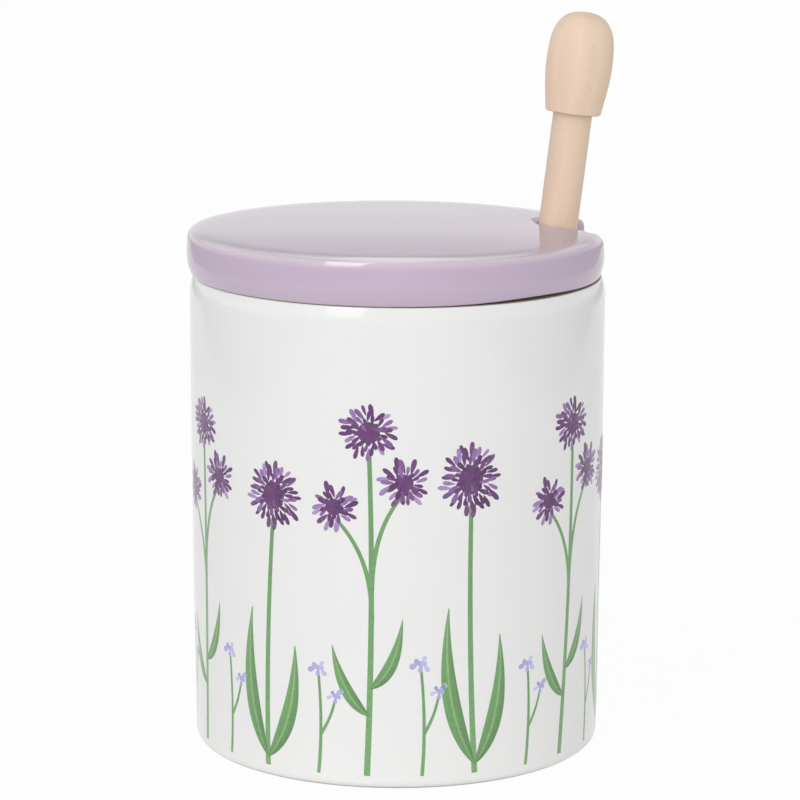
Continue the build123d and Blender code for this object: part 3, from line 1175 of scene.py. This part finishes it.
class HONEYPOT_OT_frieze(bpy.types.Operator):
    """Add the printed frieze of flowers round the jar"""

    bl_idname = "honey_pot.frieze"
    bl_label = "Printed Frieze"

    def execute(self, context):
        settings = context.scene.honey_pot
        materials = [green_print(settings), purple_print(settings), blue_print()]
        maker = bpy.data.objects.new("frieze_maker", bpy.data.meshes.new("frieze_maker"))
        context.scene.collection.objects.link(maker)
        modifier = maker.modifiers.new("frieze", "NODES")
        modifier.node_group = frieze_tree(settings, materials)
        for name, value in (
            ("Sprigs of each kind", settings.sprigs),
            ("Petal length", settings.petal_length),
            ("Petal width", settings.petal_width),
            ("Stem half width", settings.stem_half_width),
        ):
            set_tree_value(modifier, name, value)
        evaluated = maker.evaluated_get(context.evaluated_depsgraph_get())
        mesh = bpy.data.meshes.new_from_object(evaluated)
        if len(mesh.polygons) == 0:
            raise RuntimeError("the frieze came out empty")
        mesh.name = "printed_frieze"
        mesh.shade_flat()
        bpy.data.objects.remove(maker)
        frieze = bpy.data.objects.new("printed_frieze", mesh)
        context.scene.collection.objects.link(frieze)
        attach(frieze, "jar")
        return {"FINISHED"}


# --- Stage ---

def add_floor():
    size = 6.0
    corners = [(-size, -size, 0), (size, -size, 0), (size, size, 0), (-size, size, 0)]
    floor = add_piece("floor", corners, [(0, 1, 2, 3)], floor_white())


def add_world():
    """A white room: brightest in front and low down, darker in a band that the glaze mirrors from behind."""
    world = bpy.data.worlds.new("studio")
    world.use_nodes = True
    world.node_tree.nodes.clear()
    graph = Graph(world.node_tree)
    x, y, z = graph.parts(graph.add("ShaderNodeTexCoord", None, None, out="Generated"))
    up = graph.math("MAXIMUM", z, 0.0)
    ahead = graph.math("MAXIMUM", -0.985 * y - 0.17 * x, 0.0)
    soft = 0.99 - up * 0.85 + ahead * 1.12
    low = ((0.07, 1.02), (0.13, 1.03), (0.16, 1.06), (0.19, 0.92), (0.22, 0.84))
    behind = height_ramp(graph, z, low + (
        (0.27, 0.64), (0.29, 0.68), (0.34, 1.2), (0.41, 1.9), (0.50, 2.3), (0.82, 2.3), (1.0, 1.1),
    ))
    beside = height_ramp(graph, z, low + ((0.27, 0.72), (0.30, 0.78), (0.36, 1.0), (0.45, 1.2), (1.0, 1.1)))
    aside = graph.math("ABSOLUTE", x) / graph.math("MAXIMUM", y, 0.05)
    mirrored = graph.mix(smooth_step(graph, aside, 0.02, 0.14), behind, beside)
    mirrored = graph.mix(smooth_step(graph, y, 0.15, -0.35), mirrored, grey(0.36))
    panel, glow = window(graph, x, y, z)
    mirrored = graph.mix(panel, mirrored, graph.vector(glow, glow, glow))
    plain = graph.vector(soft, soft, soft)
    colour = graph.mix(light_path(graph, "Is Glossy Ray"), plain, brighter(graph, mirrored, MIRROR_PEAK))
    seen = light_path(graph, "Is Camera Ray") + light_path(graph, "Is Transmission Ray")
    surface = graph.add("ShaderNodeBackground", None, {
        "Color": graph.mix(seen, colour, grey(1)), "Strength": 1.0,
    })
    graph.add("ShaderNodeOutputWorld", None, {"Surface": surface})
    bpy.context.scene.world = world


def height_ramp(graph, height, stops):
    """Grey that changes with height, in parts of the brightest so that a ramp can hold it."""
    scaled = [(position, grey(value / MIRROR_PEAK)) for position, value in stops]
    return graph.add("ShaderNodeValToRGB", {"stops": scaled}, {"Fac": height}, out="Color")


def window(graph, x, y, z):
    """A tall slanting bright panel at the left of the front, which the glaze mirrors: its mask and its glow.

    It is laid out by how a surface has to face to mirror it to the front: how far it is turned to the left
    and how far it is tipped up, each as a share of how much it faces forward.
    """
    view_back, view_up = 0.986, 0.167
    forward = graph.math("MAXIMUM", view_back - y, 0.05)
    turned = -1 * x / forward
    tipped = (z + view_up) / forward
    left = smooth_step(graph, turned + tipped * 0.045, 0.165, 0.185)
    inside = left * smooth_step(graph, turned, 0.362, 0.342)
    inside = inside * smooth_step(graph, tipped, 0.195, 0.215) * smooth_step(graph, tipped, 1.85, 1.70)
    dimmest, rise = 1.15, 1.7
    return inside, smooth_step(graph, tipped, 0.34, 0.55) * rise + dimmest


def brighter(graph, colour, factor):
    """A colour times a number, which may take it above 1."""
    return graph.add("ShaderNodeVectorMath", {"operation": "SCALE"}, {"Vector": colour, "Scale": factor})


def add_softbox(name, place, target, width, height, power):
    """A rectangular area lamp that faces a target."""
    light = bpy.data.lights.new(name, "AREA")
    light.shape = "RECTANGLE"
    light.size, light.size_y, light.energy = width, height, power
    light.specular_factor = 0.0
    lamp = bpy.data.objects.new(name, light)
    lamp.location = place
    lamp.rotation_euler = (Vector(target) - Vector(place)).to_track_quat("-Z", "Y").to_euler()
    bpy.context.scene.collection.objects.link(lamp)


def add_camera(settings):
    """A long lens a little above the pot, looking along +Y."""
    yaw, roll = -0.0008, 0.0029
    data = bpy.data.cameras.new("camera")
    data.sensor_width, data.lens = 36.0, settings.lens
    camera = bpy.data.objects.new("camera", data)
    camera.matrix_world = (
        Matrix.Translation((0, -settings.camera_distance, settings.camera_height))
        @ Matrix.Rotation(yaw, 4, "Z")
        @ Matrix.Rotation(math.pi / 2 - settings.camera_pitch, 4, "X")
        @ Matrix.Rotation(roll, 4, "Z")
    )
    bpy.context.scene.collection.objects.link(camera)
    bpy.context.scene.camera = camera


class HONEYPOT_OT_stage(bpy.types.Operator):
    """Add the white floor, the studio light and the camera"""

    bl_idname = "honey_pot.stage"
    bl_label = "Stage"

    def execute(self, context):
        settings = context.scene.honey_pot
        add_floor()
        add_world()
        add_softbox("softbox", (-0.55, -0.70, 0.60), (0, 0, 0.06), 0.5, 0.9, 0.5)
        add_camera(settings)
        context.scene.view_settings.view_transform = "Standard"
        return {"FINISHED"}


# --- Settings, panel and registration ---

def length_property(name, about, default):
    return bpy.props.FloatProperty(name=name, description=about, default=default, unit="LENGTH", precision=5)


def colour_property(name, about, default):
    return bpy.props.FloatVectorProperty(
        name=name, description=about, default=default, size=len(default), min=0.0, max=1.0, subtype="COLOR"
    )


class HoneyPotSettings(bpy.types.PropertyGroup):
    """Sizes and colours of the honey pot"""

    segments: bpy.props.IntProperty(name="Segments", description="Faces round the jar", default=288, min=24)
    bore_radius: length_property("Bore radius", "Inner radius of the jar", 38.9 * MM)
    floor_thickness: length_property("Floor thickness", "Thickness of the jar's floor", 5.0 * MM)
    dome_rise: length_property("Dome rise", "Rise of the lid's middle above its shoulder", 0.6 * MM)
    rim_edge_width: length_property("Rim edge width", "How far in the upper edge is rounded", 0.8 * MM)
    rim_edge_height: length_property("Rim edge height", "How far down the upper edge is rounded", 1.25 * MM)
    notch_edge_round: length_property("Notch edge round", "Rounding of the edge by the stick", 0.7 * MM)
    soft_edge_width: length_property("Soft edge width", "How far in the notch's far edge is rounded", 3.0 * MM)
    soft_edge_height: length_property("Soft edge height", "How far down that edge is rounded", 1.6 * MM)
    mouth_edge_width: length_property("Mouth edge width", "How far in the mouth's corner is rounded", 4.0 * MM)
    mouth_edge_height: length_property("Mouth edge height", "How far down that corner is rounded", 3.4 * MM)
    jar_colour: colour_property("Jar glaze", "Colour of the jar's glaze", (0.84, 0.835, 0.83))
    lid_colour: colour_property("Lid glaze", "Colour of the lid's glaze", (0.56, 0.455, 0.575))
    wood_colour: colour_property("Wood", "Colour of the dipper's bare wood", (0.81, 0.625, 0.475))
    wood_fleck_colour: colour_property("Wood fleck", "Colour of the short flecks", (0.52, 0.34, 0.24, 1.0))
    flower_colour: colour_property("Flowers", "Darkest colour of the printed flowers", (0.135, 0.045, 0.165))
    leaf_colour: colour_property("Leaves", "Colour of the printed leaves", (0.14, 0.30, 0.115))
    sprigs: bpy.props.IntProperty(
        name="Sprigs of each kind", description="Copies of each sprig round the jar", default=6, min=1
    )
    petal_length: length_property("Petal length", "Length of a printed petal", 2.6 * MM)
    petal_width: length_property("Petal width", "Width of a printed petal", 1.35 * MM)
    stem_half_width: length_property("Stem half width", "Half the width of a printed stem", 0.6 * MM)
    frieze_turn: bpy.props.FloatProperty(
        name="Frieze turn", description="Where round the jar the frieze starts, in degrees", default=-98.0
    )
    camera_distance: length_property("Camera distance", "How far the camera stands in front", 0.74915)
    camera_height: length_property("Camera height", "Height of the camera", 0.22615)
    camera_pitch: bpy.props.FloatProperty(
        name="Camera pitch", description="How far the camera looks down", default=0.2006, subtype="ANGLE"
    )
    lens: bpy.props.FloatProperty(name="Lens", description="Focal length in millimetres", default=159.6)


class HONEYPOT_PT_pieces(bpy.types.Panel):
    """Lists the pieces of the honey pot"""

    bl_idname = "HONEYPOT_PT_pieces"
    bl_label = "Honey Pot"
    bl_space_type = "VIEW_3D"
    bl_region_type = "UI"
    bl_category = "Honey Pot"

    def draw(self, context):
        for operator in OPERATORS:
            self.layout.operator(operator.bl_idname)


OPERATORS = (
    HONEYPOT_OT_stage,
    HONEYPOT_OT_jar,
    HONEYPOT_OT_lid,
    HONEYPOT_OT_dipper,
    HONEYPOT_OT_frieze,
)
CLASSES = (HoneyPotSettings, *OPERATORS, HONEYPOT_PT_pieces)


def register():
    for each in CLASSES:
        bpy.utils.register_class(each)
    bpy.types.Scene.honey_pot = bpy.props.PointerProperty(type=HoneyPotSettings)


def unregister():
    del bpy.types.Scene.honey_pot
    for each in reversed(CLASSES):
        bpy.utils.unregister_class(each)


def main():
    register()
    for operator in OPERATORS:
        group, name = operator.bl_idname.split(".")
        getattr(getattr(bpy.ops, group), name)()


if __name__ == "__main__":
    main()
